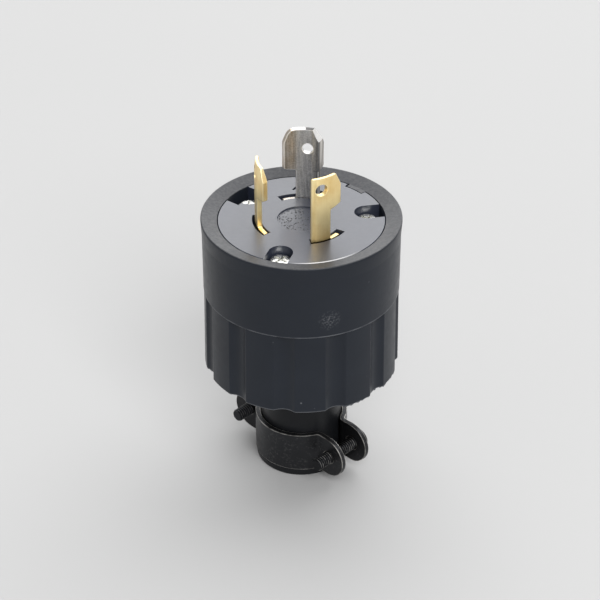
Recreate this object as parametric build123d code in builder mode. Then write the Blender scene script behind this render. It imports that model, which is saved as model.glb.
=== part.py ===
from build123d import *
import os
from math import cos, degrees, radians, sin

# A three-blade locking plug, standing on the end of its neck with the blades up.
# The origin is on the standing surface, on the plug's axis. Angles run anticlockwise
# from +X, seen from above the blades. All lengths are millimetres.

# Outer cover: smooth band and lip above, fluted grip below, round neck for the cord
lip_radius = 28.6
lip_width = 4.7
lip_height = 83.7
lip_fall = 1.2
lip_flare = 0.25
lip_flare_height = 2.4
lip_land = 1.0
lip_edge_round = 0.5
band_height = 23.0
band_step = 0.15
grip_height = 25.7
grip_flare = 0.4
grip_edge_round = 0.6
groove_count = 12
groove_angle = 20.0
groove_depth = 1.2
groove_width = 6.4
groove_arris = 0.7
cord_bore_radius = 8.5
neck_wall = 3.0
bore_flare = 2.0
bore_flare_height = 4.5
bead_overlap = 1.2
bead_height = 2.55
bead_round = 0.6
chamber_floor = 3.0
chamber_slope = 5.0
seat_ledge = 1.3
key_start = 39.0
key_end = 53.6
key_depth = 1.5

# Face insert: moulded disc that the blades stand in
insert_clearance = 0.15
insert_thickness = 8.5
recess_radius = 6.8
recess_depth = 0.4
slot_gap_inside = 0.2
slot_gap_outside = 0.45
slot_margin_clockwise = 1.2
slot_margin_hook = 4.5
slit_radius = 17.6
slit_angle = 95.0
slit_turn = 58.0
slit_length = 3.4
slit_width = 0.7
slit_depth = 1.2

# Face screws: three, in notches that open to the rim of the insert, and their bushes
face_screw_angles = {"right": 11.0, "rear": 143.0, "front": 252.3}
face_screw_inset = 4.75
face_screw_radius = 1.75
face_screw_engagement = 6.7
face_head_radius = 3.2
face_head_height = 2.4
face_head_sunk = 2.2
notch_clearance = 0.25
notch_behind = 3.6
rear_notch_extra = 2.9
bush_wall = 1.05
bush_length = 8.0
boss_wall = 1.4

# Blades: curved strips on one circle, with a hooked head
blade_inner_radius = 11.6
blade_thickness = 1.6
blade_sunk = 0.5
blade_corner_round = 0.5
blade_lead_in = 0.35
hook_height = 9.15
hook_rise = 0.75
line_start_angles = {"front": -78.0, "left": 173.0}
line_span = 43.5
line_neck_span = 26.0
line_reach = 19.6
line_hole_height = 16.0
line_hole_radius = 1.7
earth_start_angle = 65.5
earth_span = 49.5
earth_neck_span = 31.8
earth_reach = 22.2
earth_hole_height = 16.15
earth_hole_radius = 1.6
corner_cut_span = 8.0
corner_cut_height = 3.8
tab_out = 2.4
tab_cut = 2.2
foot_margin = 6.5
foot_height = 3.0
tail_width = 9.0
tail_length = 25.0

# Terminal block under the insert, and the terminals on the blade tails
block_clearance = 0.3
block_flange = 3.0
block_depth = 12.0
block_wall = 4.2
pocket_clearance = 0.1
pocket_margin = 1.0
terminal_drop = 17.0
terminal_screw_radius = 2.0
terminal_screw_end = 2.4
terminal_head_radius = 3.7
terminal_head_height = 2.6
saddle_width = 8.6
saddle_thickness = 1.2

# Cord clamp: two half straps round the neck, drawn together by two screws
clamp_angle = -45.0
strap_clearance = 0.9
strap_thickness = 1.5
strap_height = 12.8
strap_bend_round = 1.2
ear_gap = 8.4
ear_end = 5.85
clamp_screw_offset = 3.15
clamp_screw_radius = 1.95
clamp_screw_tip = 5.2
clamp_head_radius = 3.5
clamp_head_height = 2.6

# Fits and drives shared by the fasteners
screw_clearance = 0.25
thread_fit = 0.03
drive_width = 0.9
drive_share = 0.62
head_round = 0.8

# Heights and radii that follow from the sizes above
face_height = lip_height - lip_fall
band_radius = lip_radius - lip_flare
band_bottom = lip_height - band_height
grip_top_radius = band_radius - band_step
grip_radius = grip_top_radius + grip_flare
grip_bottom = band_bottom - grip_height
groove_scoop = (groove_width**2 / 4 + groove_depth**2) / (2 * groove_depth)
insert_bore = lip_radius - lip_width
insert_radius = insert_bore - insert_clearance
seat_height = face_height - insert_thickness
chamber_radius = insert_bore - seat_ledge
chamber_low = grip_bottom + chamber_floor
bore_top = chamber_low - bore_flare_height
chamber_high = chamber_low + chamber_slope
neck_radius = cord_bore_radius + neck_wall
strap_inner_radius = neck_radius + strap_clearance
strap_outer_radius = strap_inner_radius + strap_thickness
bead_radius = strap_inner_radius + bead_overlap
boss_top = seat_height - block_flange
bush_radius = face_screw_radius + bush_wall
boss_radius = bush_radius + boss_wall
face_screw_circle = insert_radius - face_screw_inset
screw_seat = face_height - face_head_sunk - face_head_height
face_screw_length = screw_seat - boss_top + face_screw_engagement
notch_width = 2 * (face_head_radius + notch_clearance)
blade_outer_radius = blade_inner_radius + blade_thickness
tab_reach = blade_outer_radius + tab_out
base_top = face_height - blade_sunk
foot_bottom = seat_height - foot_height
block_radius = chamber_radius - block_clearance
block_body_radius = blade_outer_radius + block_wall
block_bottom = seat_height - block_depth
terminal_height = foot_bottom - terminal_drop
terminal_screw_length = saddle_thickness + blade_thickness + terminal_screw_end
strap_middle = bead_height + strap_height / 2
ear_inside = ear_gap / 2
ear_outside = ear_inside + strap_thickness
clamp_screw_reach = strap_outer_radius + clamp_screw_offset
ear_reach = clamp_screw_reach + ear_end
clamp_screw_length = 2 * ear_outside + clamp_screw_tip


def point_at(radius, angle):
    return (radius * cos(radians(angle)), radius * sin(radians(angle)))


def outward_plane(angle, radius=0.0):
    """Upright plane at this radius: X runs anticlockwise round the plug, Y up, Z outwards."""
    x, y = point_at(1, angle)
    return Plane(origin=(radius * x, radius * y, 0), x_dir=(-y, x, 0), z_dir=(x, y, 0))


def ring_sector(inner, outer, start, span, mode=Mode.ADD):
    """Part of a ring, between two radii, drawn in the current sketch."""
    with BuildLine() as outline:
        outer_edge = CenterArc((0, 0), outer, start, span)
        inner_edge = CenterArc((0, 0), inner, start, span)
        Line(outer_edge @ 0, inner_edge @ 0)
        Line(outer_edge @ 1, inner_edge @ 1)
    make_face(outline.edges(), mode=mode)


def write_piece(piece, name):
    piece.part.label = name
    export_step(piece.part, f"parts/{name}.step")


os.makedirs("parts", exist_ok=True)

face_screw_points = [point_at(face_screw_circle, angle) for angle in face_screw_angles.values()]
line_slots = [(start, line_span) for start in line_start_angles.values()]
blade_slots = line_slots + [(earth_start_angle, earth_span)]

# Outer cover
with BuildPart() as outer_cover:
    for height, radius in ((grip_bottom, grip_radius), (band_bottom, grip_top_radius)):
        with BuildSketch(Plane.XY.offset(height)):
            Circle(radius)
            groove_centre = radius + groove_scoop - groove_depth
            with PolarLocations(groove_centre, groove_count, start_angle=groove_angle):
                Circle(groove_scoop, mode=Mode.SUBTRACT)
            fillet(vertices(), groove_arris)
    loft(ruled=True)
    fillet(edges().group_by(Axis.Z)[0], grip_edge_round)
    with BuildSketch(Plane.XZ):
        with BuildLine():
            Polyline(
                (0, band_bottom),
                (band_radius, band_bottom),
                (band_radius, lip_height - lip_flare_height),
                (lip_radius, lip_height - lip_land),
                (lip_radius, lip_height),
                (insert_bore, face_height),
                (0, face_height),
                close=True,
            )
        make_face()
        fillet(vertices().sort_by(Axis.Y)[-1], lip_edge_round)
        with BuildLine():
            Polyline(
                (0, 0),
                (bead_radius, 0),
                (bead_radius, bead_height),
                (neck_radius, bead_height),
                (neck_radius, grip_bottom),
                (0, grip_bottom),
                close=True,
            )
        make_face()
        bead_corners = vertices().filter_by(lambda v: abs(v.X - bead_radius) < bead_round / 2)
        fillet(bead_corners, bead_round)
    revolve(axis=Axis.Z)
    with BuildSketch(Plane.XZ):
        with BuildLine():
            Polyline(
                (0, 0),
                (cord_bore_radius, 0),
                (cord_bore_radius, bore_top),
                (cord_bore_radius + bore_flare, chamber_low),
                (chamber_radius, chamber_high),
                (chamber_radius, seat_height),
                (insert_bore, seat_height),
                (insert_bore, lip_height),
                (0, lip_height),
                close=True,
            )
        make_face()
    revolve(axis=Axis.Z, mode=Mode.SUBTRACT)
    with BuildSketch(Plane.XY.offset(chamber_low)):
        with Locations(*face_screw_points):
            Circle(boss_radius)
    extrude(amount=boss_top - chamber_low)
    with BuildSketch(Plane.XY.offset(boss_top)):
        with Locations(*face_screw_points):
            Circle(bush_radius)
    extrude(amount=-bush_length, mode=Mode.SUBTRACT)
    with BuildSketch(Plane.XY.offset(seat_height)):
        ring_sector(insert_bore - key_depth, insert_bore + key_depth, key_start, key_end - key_start)
    extrude(amount=insert_thickness)
write_piece(outer_cover, "outer_cover")

# Face insert
with BuildPart() as face_insert:
    with BuildSketch(Plane.XY.offset(seat_height)):
        Circle(insert_radius)
        key_gap = degrees(insert_clearance / insert_radius)
        ring_sector(
            insert_bore - key_depth - insert_clearance,
            insert_bore + key_depth,
            key_start - key_gap,
            key_end - key_start + 2 * key_gap,
            mode=Mode.SUBTRACT,
        )
        for start, span in blade_slots:
            ring_sector(
                blade_inner_radius - slot_gap_inside,
                blade_outer_radius + slot_gap_outside,
                start - slot_margin_clockwise,
                span + slot_margin_clockwise + slot_margin_hook,
                mode=Mode.SUBTRACT,
            )
    extrude(amount=insert_thickness)
    with BuildSketch(Plane.XY.offset(screw_seat)):
        notch_centre = face_screw_circle - notch_behind + notch_width / 2
        for side, angle in face_screw_angles.items():
            with PolarLocations(notch_centre, 1, start_angle=angle):
                Circle(notch_width / 2)
                Rectangle(insert_radius, notch_width, align=(Align.MIN, Align.CENTER))
                if side == "rear":
                    Rectangle(insert_radius, notch_width + rear_notch_extra, align=(Align.MIN, Align.CENTER))
    extrude(amount=face_height - screw_seat, mode=Mode.SUBTRACT)
    with BuildSketch(Plane.XY.offset(seat_height)):
        with Locations(*face_screw_points):
            Circle(face_screw_radius + screw_clearance)
        with PolarLocations(blade_inner_radius, 1, start_angle=earth_start_angle):
            with Locations((0, blade_thickness / 2)):
                Rectangle(
                    tab_reach - blade_inner_radius + slot_gap_outside,
                    blade_thickness + 2 * slot_gap_inside,
                    align=(Align.MIN, Align.CENTER),
                )
    extrude(amount=insert_thickness, mode=Mode.SUBTRACT)
    with BuildSketch(Plane.XY.offset(face_height)):
        Circle(recess_radius)
    extrude(amount=-recess_depth, mode=Mode.SUBTRACT)
    with BuildSketch(Plane.XY.offset(face_height)):
        with Locations(point_at(slit_radius, slit_angle)):
            Rectangle(slit_length, slit_width, rotation=slit_turn)
    extrude(amount=-slit_depth, mode=Mode.SUBTRACT)
write_piece(face_insert, "face_insert")

# Terminal block
with BuildPart() as terminal_block:
    with BuildSketch(Plane.XY.offset(boss_top)):
        Circle(block_radius)
    extrude(amount=block_flange)
    with BuildSketch(Plane.XY.offset(block_bottom)):
        Circle(block_body_radius)
        with Locations(*face_screw_points):
            Circle(boss_radius + block_clearance, mode=Mode.SUBTRACT)
    extrude(amount=boss_top - block_bottom)
    with BuildSketch(Plane.XY.offset(boss_top)):
        with Locations(*face_screw_points):
            Circle(face_screw_radius + screw_clearance)
    extrude(amount=block_flange, mode=Mode.SUBTRACT)
    with BuildSketch(Plane.XY.offset(foot_bottom)):
        for start, span in blade_slots:
            ring_sector(
                blade_inner_radius - pocket_clearance,
                blade_outer_radius + pocket_clearance,
                start - foot_margin - pocket_margin,
                span + 2 * (foot_margin + pocket_margin),
            )
    extrude(amount=foot_height, mode=Mode.SUBTRACT)
    with BuildSketch(Plane.XY.offset(block_bottom)):
        for start, span in blade_slots:
            with PolarLocations(blade_inner_radius - pocket_clearance, 1, start_angle=start + span / 2):
                Rectangle(
                    blade_thickness + 2 * pocket_clearance,
                    tail_width + 2 * pocket_clearance,
                    align=(Align.MIN, Align.CENTER),
                )
    extrude(amount=foot_bottom - block_bottom, mode=Mode.SUBTRACT)
write_piece(terminal_block, "terminal_block")


def hooked_blade(start, span, neck_span, reach, hole_height, hole_radius, tab=False):
    """One blade: foot and tail below the face, then a narrow neck and a head hooked anticlockwise."""
    middle = start + span / 2
    neck_end = start + neck_span
    top = face_height + reach
    hook_under = face_height + hook_height
    hook_length = blade_outer_radius * sin(radians(span - neck_span))
    cut_length = hook_length + blade_outer_radius
    cut_rise = hook_rise * cut_length / hook_length
    corner_run = blade_outer_radius * sin(radians(corner_cut_span))
    with BuildPart() as blade:
        with BuildSketch(Plane.XY.offset(foot_bottom)):
            ring_sector(blade_inner_radius, blade_outer_radius, start - foot_margin, span + 2 * foot_margin)
        extrude(amount=foot_height)
        with BuildSketch(Plane.XY.offset(seat_height)):
            ring_sector(blade_inner_radius, blade_outer_radius, start, span)
        extrude(amount=top - seat_height)
        if tab:
            with BuildSketch(Plane.XY.offset(hook_under)):
                with PolarLocations(blade_inner_radius, 1, start_angle=start):
                    Rectangle(
                        tab_reach - blade_inner_radius, blade_thickness, align=(Align.MIN, Align.MIN)
                    )
            extrude(amount=top - hook_under)
            tab_side = Plane((0, 0, 0), x_dir=(*point_at(1, start), 0), z_dir=(*point_at(1, start - 90), 0))
            with BuildSketch(tab_side):
                with BuildLine():
                    Polyline(
                        (tab_reach, top - corner_cut_height - tab_cut),
                        (tab_reach, top),
                        (blade_outer_radius, top),
                        close=True,
                    )
                make_face()
            extrude(amount=blade_outer_radius, both=True, mode=Mode.SUBTRACT)
            with BuildSketch(outward_plane(start)):
                with BuildLine():
                    Polyline(
                        (0, top - corner_cut_height),
                        (0, top),
                        (corner_run, top),
                        close=True,
                    )
                make_face()
            extrude(amount=tab_reach, mode=Mode.SUBTRACT)
        with BuildSketch(outward_plane(neck_end)):
            with BuildLine():
                Polyline(
                    (0, base_top),
                    (0, hook_under),
                    (cut_length, hook_under + cut_rise),
                    (cut_length, base_top),
                    close=True,
                )
            make_face()
            fillet(vertices().sort_by(Axis.X)[:2], blade_corner_round)
        extrude(amount=blade_outer_radius * 2, mode=Mode.SUBTRACT)
        with BuildSketch(outward_plane(start + span)):
            with BuildLine():
                Polyline(
                    (0, top - corner_cut_height),
                    (0, top),
                    (-corner_run, top),
                    close=True,
                )
            make_face()
        extrude(amount=blade_outer_radius * 2, mode=Mode.SUBTRACT)
        chamfer(edges().group_by(Axis.Z)[-1].filter_by(GeomType.CIRCLE), blade_lead_in)
        with BuildSketch(outward_plane(start + neck_span / 2)):
            with Locations((0, face_height + hole_height)):
                Circle(hole_radius)
        extrude(amount=blade_outer_radius * 2, mode=Mode.SUBTRACT)
        with BuildSketch(outward_plane(middle, blade_inner_radius)):
            with Locations((0, foot_bottom)):
                Rectangle(tail_width, tail_length, align=(Align.CENTER, Align.MAX))
            with Locations((0, terminal_height)):
                Circle(terminal_screw_radius + thread_fit, mode=Mode.SUBTRACT)
        extrude(amount=blade_thickness)
    return blade


# Blades: two alike for the line, a longer one with a turned-out tab for earth
for side, start in line_start_angles.items():
    line_blade = hooked_blade(
        start, line_span, line_neck_span, line_reach, line_hole_height, line_hole_radius
    )
    write_piece(line_blade, f"{side}_line_blade")
earth_blade = hooked_blade(
    earth_start_angle,
    earth_span,
    earth_neck_span,
    earth_reach,
    earth_hole_height,
    earth_hole_radius,
    tab=True,
)
write_piece(earth_blade, "earth_blade")


def pan_screw(seat, head_radius, head_height, shank_radius, length):
    """Pan-head screw with a cross drive; the seat plane's Z points out of the head."""
    with BuildPart() as screw:
        with BuildSketch(seat):
            Circle(head_radius)
        extrude(amount=head_height)
        fillet(edges().filter_by(GeomType.CIRCLE).sort_by(Axis(seat.origin, seat.z_dir))[-1], head_round)
        with BuildSketch(seat):
            Circle(shank_radius)
        extrude(amount=-length)
        with BuildSketch(seat.offset(head_height)):
            Rectangle(2 * head_radius * drive_share, drive_width)
            Rectangle(drive_width, 2 * head_radius * drive_share)
        extrude(amount=-head_height * drive_share, mode=Mode.SUBTRACT)
    return screw


# Face screws and the threaded bushes moulded into the cover's bosses
for side, angle in face_screw_angles.items():
    x, y = point_at(face_screw_circle, angle)
    face_screw = pan_screw(
        Plane((x, y, screw_seat)), face_head_radius, face_head_height, face_screw_radius, face_screw_length
    )
    write_piece(face_screw, f"{side}_face_screw")
    with BuildPart() as screw_bush:
        with BuildSketch(Plane((x, y, boss_top))):
            Circle(bush_radius)
            Circle(face_screw_radius + thread_fit, mode=Mode.SUBTRACT)
        extrude(amount=-bush_length)
    write_piece(screw_bush, f"{side}_screw_bush")

# Terminals: a saddle plate and a screw on each blade tail
terminal_angles = {side: start + line_span / 2 for side, start in line_start_angles.items()}
terminal_angles["earth"] = earth_start_angle + earth_span / 2
for side, angle in terminal_angles.items():
    with BuildPart() as terminal_saddle:
        with BuildSketch(outward_plane(angle, blade_outer_radius)):
            with Locations((0, terminal_height)):
                Rectangle(saddle_width, saddle_width)
                Circle(terminal_screw_radius + screw_clearance, mode=Mode.SUBTRACT)
        extrude(amount=saddle_thickness)
    write_piece(terminal_saddle, f"{side}_terminal_saddle")
    head_seat = outward_plane(angle, blade_outer_radius + saddle_thickness)
    head_seat.origin = head_seat.origin + Vector(0, 0, terminal_height)
    terminal_screw = pan_screw(
        head_seat, terminal_head_radius, terminal_head_height, terminal_screw_radius, terminal_screw_length
    )
    write_piece(terminal_screw, f"{side}_terminal_screw")


def half_strap(turn, hole_radius):
    """Half strap with a round-ended ear at each end, on the clockwise side of its turned X axis."""
    across = Plane.XY.rotated((0, 0, turn))
    along = Plane(origin=(0, 0, strap_middle), x_dir=across.x_dir, z_dir=-across.y_dir)
    bends = {
        strap_outer_radius: strap_bend_round,
        strap_inner_radius: strap_bend_round + strap_thickness,
    }
    same_radius = strap_thickness / 10
    with BuildPart() as strap:
        with BuildSketch(across.offset(bead_height)):
            Circle(strap_outer_radius)
            with Locations((0, -ear_inside)):
                Rectangle(
                    2 * strap_outer_radius,
                    strap_outer_radius,
                    align=(Align.CENTER, Align.MAX),
                    mode=Mode.INTERSECT,
                )
                Rectangle(2 * ear_reach, strap_thickness, align=(Align.CENTER, Align.MAX))
            Circle(strap_inner_radius, mode=Mode.SUBTRACT)
            for radius, bend in bends.items():
                corners = vertices().filter_by(lambda v: abs(v.center().length - radius) < same_radius)
                fillet(corners, bend)
        extrude(amount=strap_height)
        with BuildSketch(along):
            SlotOverall(2 * ear_reach, strap_height)
        extrude(amount=strap_outer_radius * 2, both=True, mode=Mode.INTERSECT)
        with BuildSketch(along):
            with GridLocations(2 * clamp_screw_reach, 0, 2, 1):
                Circle(hole_radius)
        extrude(amount=strap_outer_radius * 2, mode=Mode.SUBTRACT)
    return strap


# Cord clamp: tapped strap in front, plain strap behind, one screw through each pair of ears
front_strap = half_strap(clamp_angle, clamp_screw_radius + thread_fit)
write_piece(front_strap, "front_clamp_strap")
rear_strap = half_strap(clamp_angle + 180, clamp_screw_radius + screw_clearance)
write_piece(rear_strap, "rear_clamp_strap")
for side, reach in {"right": clamp_screw_reach, "left": -clamp_screw_reach}.items():
    across = Plane.XY.rotated((0, 0, clamp_angle))
    seat_point = across.x_dir * reach + across.y_dir * ear_outside + Vector(0, 0, strap_middle)
    clamp_screw = pan_screw(
        Plane(seat_point, x_dir=across.x_dir, z_dir=across.y_dir),
        clamp_head_radius,
        clamp_head_height,
        clamp_screw_radius,
        clamp_screw_length,
    )
    write_piece(clamp_screw, f"{side}_clamp_screw")
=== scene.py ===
from math import atan2, cos, pi, radians, sin, sqrt

import bmesh
import bpy
from mathutils import Matrix, Vector, noise


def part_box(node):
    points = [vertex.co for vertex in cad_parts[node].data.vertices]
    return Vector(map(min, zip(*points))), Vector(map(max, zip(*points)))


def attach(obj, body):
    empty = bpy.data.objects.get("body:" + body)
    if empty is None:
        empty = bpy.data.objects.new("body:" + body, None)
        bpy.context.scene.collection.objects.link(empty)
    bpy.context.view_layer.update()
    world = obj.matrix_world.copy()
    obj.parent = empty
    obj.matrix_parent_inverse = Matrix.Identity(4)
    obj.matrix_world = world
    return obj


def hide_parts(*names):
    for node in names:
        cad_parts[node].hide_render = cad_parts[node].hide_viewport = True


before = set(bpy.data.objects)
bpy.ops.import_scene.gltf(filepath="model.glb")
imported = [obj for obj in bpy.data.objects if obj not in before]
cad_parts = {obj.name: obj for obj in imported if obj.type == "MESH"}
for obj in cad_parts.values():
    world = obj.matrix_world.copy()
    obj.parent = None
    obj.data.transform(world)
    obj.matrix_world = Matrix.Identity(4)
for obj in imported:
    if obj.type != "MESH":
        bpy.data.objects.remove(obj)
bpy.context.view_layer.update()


# Terminal block: a rear insulator of black phenolic under the face insert, pressed in one
# piece with pockets for the blade feet. It is hidden once the plug is closed.
def add_node(tree, kind, inputs=None, **settings):
    """Adds a node; inputs are values or sockets to link, by name or number."""
    made = tree.nodes.new(kind)
    for name, value in settings.items():
        setattr(made, name, value)
    for key, value in (inputs or {}).items():
        if isinstance(value, bpy.types.NodeSocket):
            tree.links.new(value, made.inputs[key])
        else:
            made.inputs[key].default_value = value
    return made


def new_finish(name, **constants):
    """A material with plain shader values; returns it, its shader and its coordinates."""
    material = bpy.data.materials.new(name)
    material.use_nodes = True
    tree = material.node_tree
    shader = tree.nodes["Principled BSDF"]
    for socket, value in constants.items():
        shader.inputs[socket.replace("_", " ")].default_value = value
    place = add_node(tree, "ShaderNodeTexCoord").outputs["Object"]
    return material, shader, place


def grain(place, scale, detail=3.0, stretch=(1, 1, 1)):
    """Noise on Object coordinates, in features per metre, from 0 to 1."""
    turned = add_node(place.id_data, "ShaderNodeMapping", {"Vector": place, "Scale": stretch})
    made = add_node(place.id_data, "ShaderNodeTexNoise",
                    {"Vector": turned.outputs[0], "Scale": scale, "Detail": detail})
    return made.outputs["Fac"]


def band(value, low, high, from_value=0.0, to_value=1.0):
    """Maps value from low..high to from_value..to_value, held at both ends."""
    made = add_node(value.id_data, "ShaderNodeMapRange",
                    {"Value": value, "From Min": low, "From Max": high,
                     "To Min": from_value, "To Max": to_value})
    return made.outputs["Result"]


def blend(share, first, second):
    """A colour between two, by a share from 0 to 1; each is a socket or red, green and blue."""
    ends = [value if isinstance(value, bpy.types.NodeSocket) else (*value, 1) for value in (first, second)]
    made = add_node(share.id_data, "ShaderNodeMix", {0: share, 6: ends[0], 7: ends[1]}, data_type="RGBA")
    return made.outputs[2]


def paint(shader, colour, roughness=None):
    links = shader.id_data.links
    links.new(colour, shader.inputs["Base Color"])
    if roughness is not None:
        links.new(roughness, shader.inputs["Roughness"])


def give_relief(shader, height, depth, strength=1.0):
    """Fine surface relief, with depth in metres for the whole range of height."""
    tree = shader.id_data
    made = add_node(tree, "ShaderNodeBump", {"Height": height, "Distance": depth, "Strength": strength})
    tree.links.new(made.outputs["Normal"], shader.inputs["Normal"])


def phenolic_finish():
    material, shader, place = new_finish("pressed_phenolic", Specular_IOR_Level=0.45)
    mottle = grain(place, 420, 5)
    paint(shader, blend(mottle, (0.012, 0.011, 0.011), (0.03, 0.028, 0.027)),
          band(mottle, 0.3, 0.7, 0.42, 0.58))
    give_relief(shader, grain(place, 2600, 2), 0.00004)
    return material


def finish_node(name, material):
    """Gives a CAD piece that stays as it is its finished material."""
    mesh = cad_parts[name].data
    mesh.materials.clear()
    mesh.materials.append(material)


finish_node("terminal_block", phenolic_finish())


# Line blades: two alike, stamped from 1.6 mm brass, curved to one circle, with a hooked head
# and coined edges. Their feet are trapped between the insert and the terminal block.
seat_height, face_height = [corner.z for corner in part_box("face_insert")]
blade_inner_radius = 0.0116
blade_thickness = 0.0016
blade_radius = blade_inner_radius + blade_thickness / 2
blade_outer_radius = blade_inner_radius + blade_thickness
blade_edge = 0.00024
blade_sunk = 0.0005
foot_margin = radians(6.5)
foot_length = foot_margin * blade_radius
foot_height = 0.003
foot_bottom = seat_height - foot_height
hook_height = 0.00915
hook_rise = 0.00075
corner_cut_span = radians(8)
corner_cut_height = 0.0038
sheared_round = 0.0004
plain_top_round = 0.0006
neck_round = 0.0006
tail_width = 0.009
tail_length = 0.025
tail_round = 0.001
tail_hole_radius = 0.00203
tail_hole_drop = 0.017
terminal_height = foot_bottom - tail_hole_drop
bend_step = radians(2)


def toward(angle):
    """One unit in plan, at an angle round the plug's axis."""
    return Vector((cos(angle), sin(angle)))


def rounded(corners, steps=5):
    """Outline of (x, y, radius) corners, with an arc of that radius at each one that has it."""
    points = []
    for index, (x, y, radius) in enumerate(corners):
        here = Vector((x, y))
        if radius <= 0:
            points.append(here)
            continue
        before = (Vector(corners[index - 1][:2]) - here).normalized()
        after = (Vector(corners[(index + 1) % len(corners)][:2]) - here).normalized()
        half = before.angle(after) / 2
        centre = here + (before + after).normalized() * (radius / sin(half))
        run = radius / (sin(half) / cos(half))
        first = here + before * run - centre
        last = here + after * run - centre
        points += [centre + first.lerp(last, step / steps).normalized() * radius for step in range(steps + 1)]
    return points


def arc_points(x, y, radius, angles):
    return [Vector((x + radius * cos(a), y + radius * sin(a))) for a in angles]


def circle_outline(x, y, radius, steps=40):
    turn = 2 * pi / steps
    return arc_points(x, y, radius, [k * turn for k in range(steps)])


def extrude(shape, faces, shift):
    """Grows flat faces into a solid by this shift."""
    grown = bmesh.ops.extrude_face_region(shape, geom=faces)
    raised = [item for item in grown["geom"] if isinstance(item, bmesh.types.BMVert)]
    bmesh.ops.translate(shape, verts=raised, vec=shift)


def sharp_edges(shape, angle):
    return [e for e in shape.edges if len(e.link_faces) == 2 and e.calc_face_angle(0) > angle]


def cut_plate(outline, holes, thickness, edge_round, cuts=(), square=None):
    """Flat plate in X (along) and Z (up), thick in Y, with rounded edges marked as material 1.

    It is sliced across at each of the cuts, so that it can be bent there. Edges stay square
    where both ends lie in the box square = (along, low, high), from that distance along."""
    plate = bmesh.new()
    for loop in [outline, *holes]:
        ring = [plate.verts.new((p.x, -thickness / 2, p.y)) for p in loop]
        for index, vertex in enumerate(ring):
            plate.edges.new((ring[index - 1], vertex))
    bmesh.ops.triangle_fill(plate, edges=plate.edges[:], use_beauty=True)
    bmesh.ops.dissolve_limit(plate, angle_limit=radians(1), verts=plate.verts[:], edges=plate.edges[:])
    extrude(plate, plate.faces[:], (0, thickness, 0))
    bmesh.ops.recalc_face_normals(plate, faces=plate.faces[:])
    rims = [edge for edge in sharp_edges(plate, radians(60))
            if abs(edge.verts[0].co.y - edge.verts[1].co.y) < thickness / 2]
    if square:
        along, low, high = square
        rims = [edge for edge in rims if not all(
            v.co.x > along - 1e-6 and low - 1e-6 < v.co.z < high + 1e-6 for v in edge.verts)]
    bmesh.ops.bevel(plate, geom=rims, offset=edge_round, segments=2, profile=0.6,
                    affect="EDGES", loop_slide=False, material=1)
    for along in cuts:
        bmesh.ops.bisect_plane(plate, geom=plate.verts[:] + plate.edges[:] + plate.faces[:],
                               plane_co=(along, 0, 0), plane_no=(1, 0, 0), dist=1e-7)
    return plate


def bend_plate(plate, path):
    """Lays a flat plate along a path: path(along, off, up) gives the place in plan."""
    for vertex in plate.verts:
        x, y = path(*vertex.co)
        vertex.co.x, vertex.co.y = x, y


def to_mesh(name, shape):
    """Turns a bmesh into a mesh and frees it."""
    mesh = bpy.data.meshes.new(name)
    shape.to_mesh(mesh)
    shape.free()
    return mesh


def take_in(shape, mesh):
    """Adds a mesh to a bmesh and deletes it."""
    shape.from_mesh(mesh)
    bpy.data.meshes.remove(mesh)


def to_object(name, data):
    """An object at the origin, in the scene."""
    made = bpy.data.objects.new(name, data)
    bpy.context.scene.collection.objects.link(made)
    return made


def shade_smooth(mesh, sharp):
    """Smooth shading, but for edges sharper than sharp."""
    mesh.polygons.foreach_set("use_smooth", [True] * len(mesh.polygons))
    mesh.set_sharp_from_angle(angle=sharp)


def settled(thing):
    """The plain mesh that an object's modifiers make."""
    evaluated = thing.evaluated_get(bpy.context.evaluated_depsgraph_get())
    return bpy.data.meshes.new_from_object(evaluated)


def to_piece(name, shape, *materials, sharp=radians(32)):
    """Turns a bmesh into a smooth object with even normals."""
    bmesh.ops.remove_doubles(shape, verts=shape.verts[:], dist=1e-7)
    bmesh.ops.recalc_face_normals(shape, faces=shape.faces[:])
    mesh = to_mesh(name, shape)
    for material in materials:
        mesh.materials.append(material)
    shade_smooth(mesh, sharp)
    piece = to_object(name, mesh)
    even = piece.modifiers.new("even", "WEIGHTED_NORMAL")
    even.keep_sharp = True
    even.weight = 100
    piece.data = settled(piece)
    piece.modifiers.remove(even)
    bpy.data.meshes.remove(mesh)
    return piece


def stand_for(piece, slot, *nodes):
    """The piece is shown in place of these CAD nodes; the slot is not used."""
    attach(piece, "root")
    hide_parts(*nodes)


def blade_outline(length, hook_length, reach, head_round):
    """Developed outline of a blade from its hook's tip (x = 0) to its plain edge, foot included."""
    base = face_height - blade_sunk
    hook = face_height + hook_height
    top = face_height + reach
    near, far = -foot_length, length + foot_length
    soft = sheared_round
    return [
        (near, foot_bottom, soft), (near, seat_height, soft), (0, seat_height, soft), (0, base, soft),
        (hook_length, base, neck_round), (hook_length, hook, neck_round),
        (0, hook + hook_rise, soft), (0, top - corner_cut_height, head_round),
        (corner_cut_span * blade_radius, top, head_round), (length, top, plain_top_round),
        (length, seat_height, soft), (far, seat_height, soft), (far, foot_bottom, soft),
    ]


def arc_cuts(span):
    """Distances along a blade, from its foot on, at which it is sliced to bend round this span."""
    return [-foot_length + k * bend_step * blade_radius for k in range(1, int(span / bend_step))]


def add_tail(blade, angle):
    """Joins the flat tail with its terminal hole under the foot, at the blade's middle."""
    top = foot_bottom + blade_edge
    half = tail_width / 2
    outline = rounded([(-half, top, 0), (-half, top - tail_length, tail_round),
                       (half, top - tail_length, tail_round), (half, top, 0)])
    hole = circle_outline(0, terminal_height, tail_hole_radius)
    tail = cut_plate(outline, [hole], blade_thickness, blade_edge)
    out = toward(angle)
    bend_plate(tail, lambda along, off, up: out * (blade_radius + off) + Vector((-out.y, out.x)) * along)
    take_in(blade, to_mesh("tail", tail))


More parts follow.
